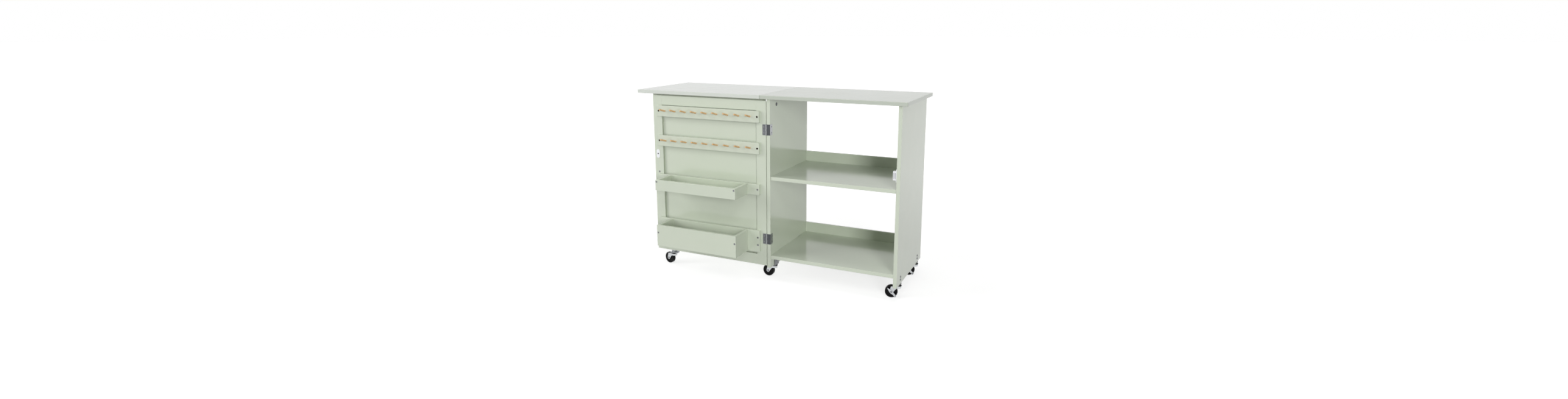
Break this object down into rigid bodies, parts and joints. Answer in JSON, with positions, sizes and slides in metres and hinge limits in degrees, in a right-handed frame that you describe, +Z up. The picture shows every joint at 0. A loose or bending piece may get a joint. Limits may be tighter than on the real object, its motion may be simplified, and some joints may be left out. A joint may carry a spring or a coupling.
{
  "type": "folding sewing cutting table",
  "caption": "Folding sewing and cutting table on casters: a shelved cabinet, a hinged drop leaf, and a swing-out door with peg rails and bins that stands under the leaf.",
  "frame": {"origin": "on the floor under the middle of the bounding box at rest", "axes": "+X along the length from the leaf to the cabinet, +Y from front to back, +Z up"},
  "size_m": [1.192, 0.509, 0.775],
  "materials": {
    "sage_paint": "satin sage green paint on board",
    "top_paint": "satin pale sage green paint on board",
    "peg_wood": "clear-coated wood",
    "wheel_black": "gloss black",
    "caster_zinc": "bright zinc plate",
    "hinge_zinc": "zinc plate",
    "cam_zinc": "dull zinc",
    "white_plastic": "satin white",
    "dark_steel": "dark steel",
    "screw_steel": "steel",
    "knob_metal": "satin metal"
  },
  "bodies": {
    "cabinet": {"bottom_back_rail": "sage_paint", "bottom_shelf": "sage_paint", "cabinet_screws": "screw_steel", "cam_locks": "cam_zinc", "caster_bolts": "caster_zinc", "caster_brackets": "caster_zinc", "caster_king_pins": "caster_zinc", "door_hinge_fixed_leaves": "hinge_zinc", "door_hinge_pins": "hinge_zinc", "leaf_hinge_fixed_leaves": "hinge_zinc", "leaf_hinge_pins": "hinge_zinc", "left_side_panel": "sage_paint", "magnetic_catch_body": "white_plastic", "magnetic_catch_poles": "dark_steel", "main_top": "top_paint", "middle_back_rail": "sage_paint", "middle_shelf": "sage_paint", "right_side_panel": "sage_paint"},
    "door": {"door_bottom_rail": "sage_paint", "door_caster_bolts": "caster_zinc", "door_caster_bracket": "caster_zinc", "door_caster_king_pin": "caster_zinc", "door_free_stile": "sage_paint", "door_hinge_moving_leaves": "hinge_zinc", "door_hinge_stile": "sage_paint", "door_panel": "sage_paint", "door_screws": "screw_steel", "door_small_screws": "screw_steel", "door_top_rail": "sage_paint", "lower_bin_back": "sage_paint", "lower_bin_bottom": "sage_paint", "lower_bin_front": "sage_paint", "lower_bin_left_end": "sage_paint", "lower_bin_right_end": "sage_paint", "lower_peg_rail": "sage_paint", "upper_bin_back": "sage_paint", "upper_bin_bottom": "sage_paint", "upper_bin_front": "sage_paint", "upper_bin_left_end": "sage_paint", "upper_bin_right_end": "sage_paint", "upper_peg_rail": "sage_paint", "pegs": "peg_wood", "strike_plate": "white_plastic", "knob": "knob_metal"},
    "leaf": {"drop_leaf": "top_paint", "leaf_batten": "sage_paint", "leaf_hinge_moving_leaves": "hinge_zinc", "leaf_screws": "screw_steel"},
    "swivel_front_left": {"caster_fork_front_left": "caster_zinc"},
    "wheel_front_left": {"caster_wheel_front_left": "wheel_black"},
    "swivel_back_left": {"caster_fork_back_left": "caster_zinc"},
    "wheel_back_left": {"caster_wheel_back_left": "wheel_black"},
    "swivel_front_right": {"caster_fork_front_right": "caster_zinc"},
    "wheel_front_right": {"caster_wheel_front_right": "wheel_black"},
    "brake_front_right": {"brake_lever_front_right": "caster_zinc"},
    "swivel_back_right": {"caster_fork_back_right": "caster_zinc"},
    "wheel_back_right": {"caster_wheel_back_right": "wheel_black"},
    "brake_back_right": {"brake_lever_back_right": "caster_zinc"},
    "swivel_door": {"caster_fork_door": "caster_zinc"},
    "wheel_door": {"caster_wheel_door": "wheel_black"}
  },
  "joints": [
    {"name": "door_swing", "type": "hinge", "parent": "cabinet", "child": "door", "pos_m": [0.02075, -0.13775, 0.4], "axis": [0, 0, 1], "range_deg": [0, 180]},
    {"name": "leaf_drop", "type": "hinge", "parent": "cabinet", "child": "leaf", "pos_m": [-0.0045, 0.0535, 0.7566], "axis": [0, -1, 0], "range_deg": [0, 90]},
    {"name": "swivel_front_left", "type": "hinge", "parent": "cabinet", "child": "swivel_front_left", "pos_m": [0.0295, -0.0795, 0.049], "axis": [0, 0, 1], "continuous": true},
    {"name": "roll_front_left", "type": "hinge", "parent": "swivel_front_left", "child": "wheel_front_left", "pos_m": [0.00252, -0.07856, 0.025], "axis": [-0.0349, -0.9994, 0], "continuous": true},
    {"name": "swivel_back_left", "type": "hinge", "parent": "cabinet", "child": "swivel_back_left", "pos_m": [0.0295, 0.1885, 0.049], "axis": [0, 0, 1], "continuous": true},
    {"name": "roll_back_left", "type": "hinge", "parent": "swivel_back_left", "child": "wheel_back_left", "pos_m": [0.00291, 0.18381, 0.025], "axis": [0.1736, -0.9848, 0], "continuous": true},
    {"name": "swivel_front_right", "type": "hinge", "parent": "cabinet", "child": "swivel_front_right", "pos_m": [0.5665, -0.0795, 0.049], "axis": [0, 0, 1], "continuous": true},
    {"name": "roll_front_right", "type": "hinge", "parent": "swivel_front_right", "child": "wheel_front_right", "pos_m": [0.54042, -0.08649, 0.025], "axis": [0.2588, -0.9659, 0], "continuous": true},
    {"name": "brake_front_right", "type": "hinge", "parent": "swivel_front_right", "child": "brake_front_right", "pos_m": [0.54042, -0.08649, 0.025], "axis": [0.2588, -0.9659, 0], "range_deg": [0, 25]},
    {"name": "swivel_back_right", "type": "hinge", "parent": "cabinet", "child": "swivel_back_right", "pos_m": [0.5665, 0.1885, 0.049], "axis": [0, 0, 1], "continuous": true},
    {"name": "roll_back_right", "type": "hinge", "parent": "swivel_back_right", "child": "wheel_back_right", "pos_m": [0.54147, 0.17839, 0.025], "axis": [0.3746, -0.9272, 0], "continuous": true},
    {"name": "brake_back_right", "type": "hinge", "parent": "swivel_back_right", "child": "brake_back_right", "pos_m": [0.54147, 0.17839, 0.025], "axis": [0.3746, -0.9272, 0], "range_deg": [0, 25]},
    {"name": "swivel_door", "type": "hinge", "parent": "door", "child": "swivel_door", "pos_m": [-0.4435, -0.129, 0.049], "axis": [0, 0, 1], "continuous": true},
    {"name": "roll_door", "type": "hinge", "parent": "swivel_door", "child": "wheel_door", "pos_m": [-0.46991, -0.12339, 0.025], "axis": [-0.2079, -0.9781, 0], "continuous": true}
  ],
  "couplings": [
    {"joint": "leaf_drop", "follows": "door_swing", "ratio": 0.5}
  ]
}
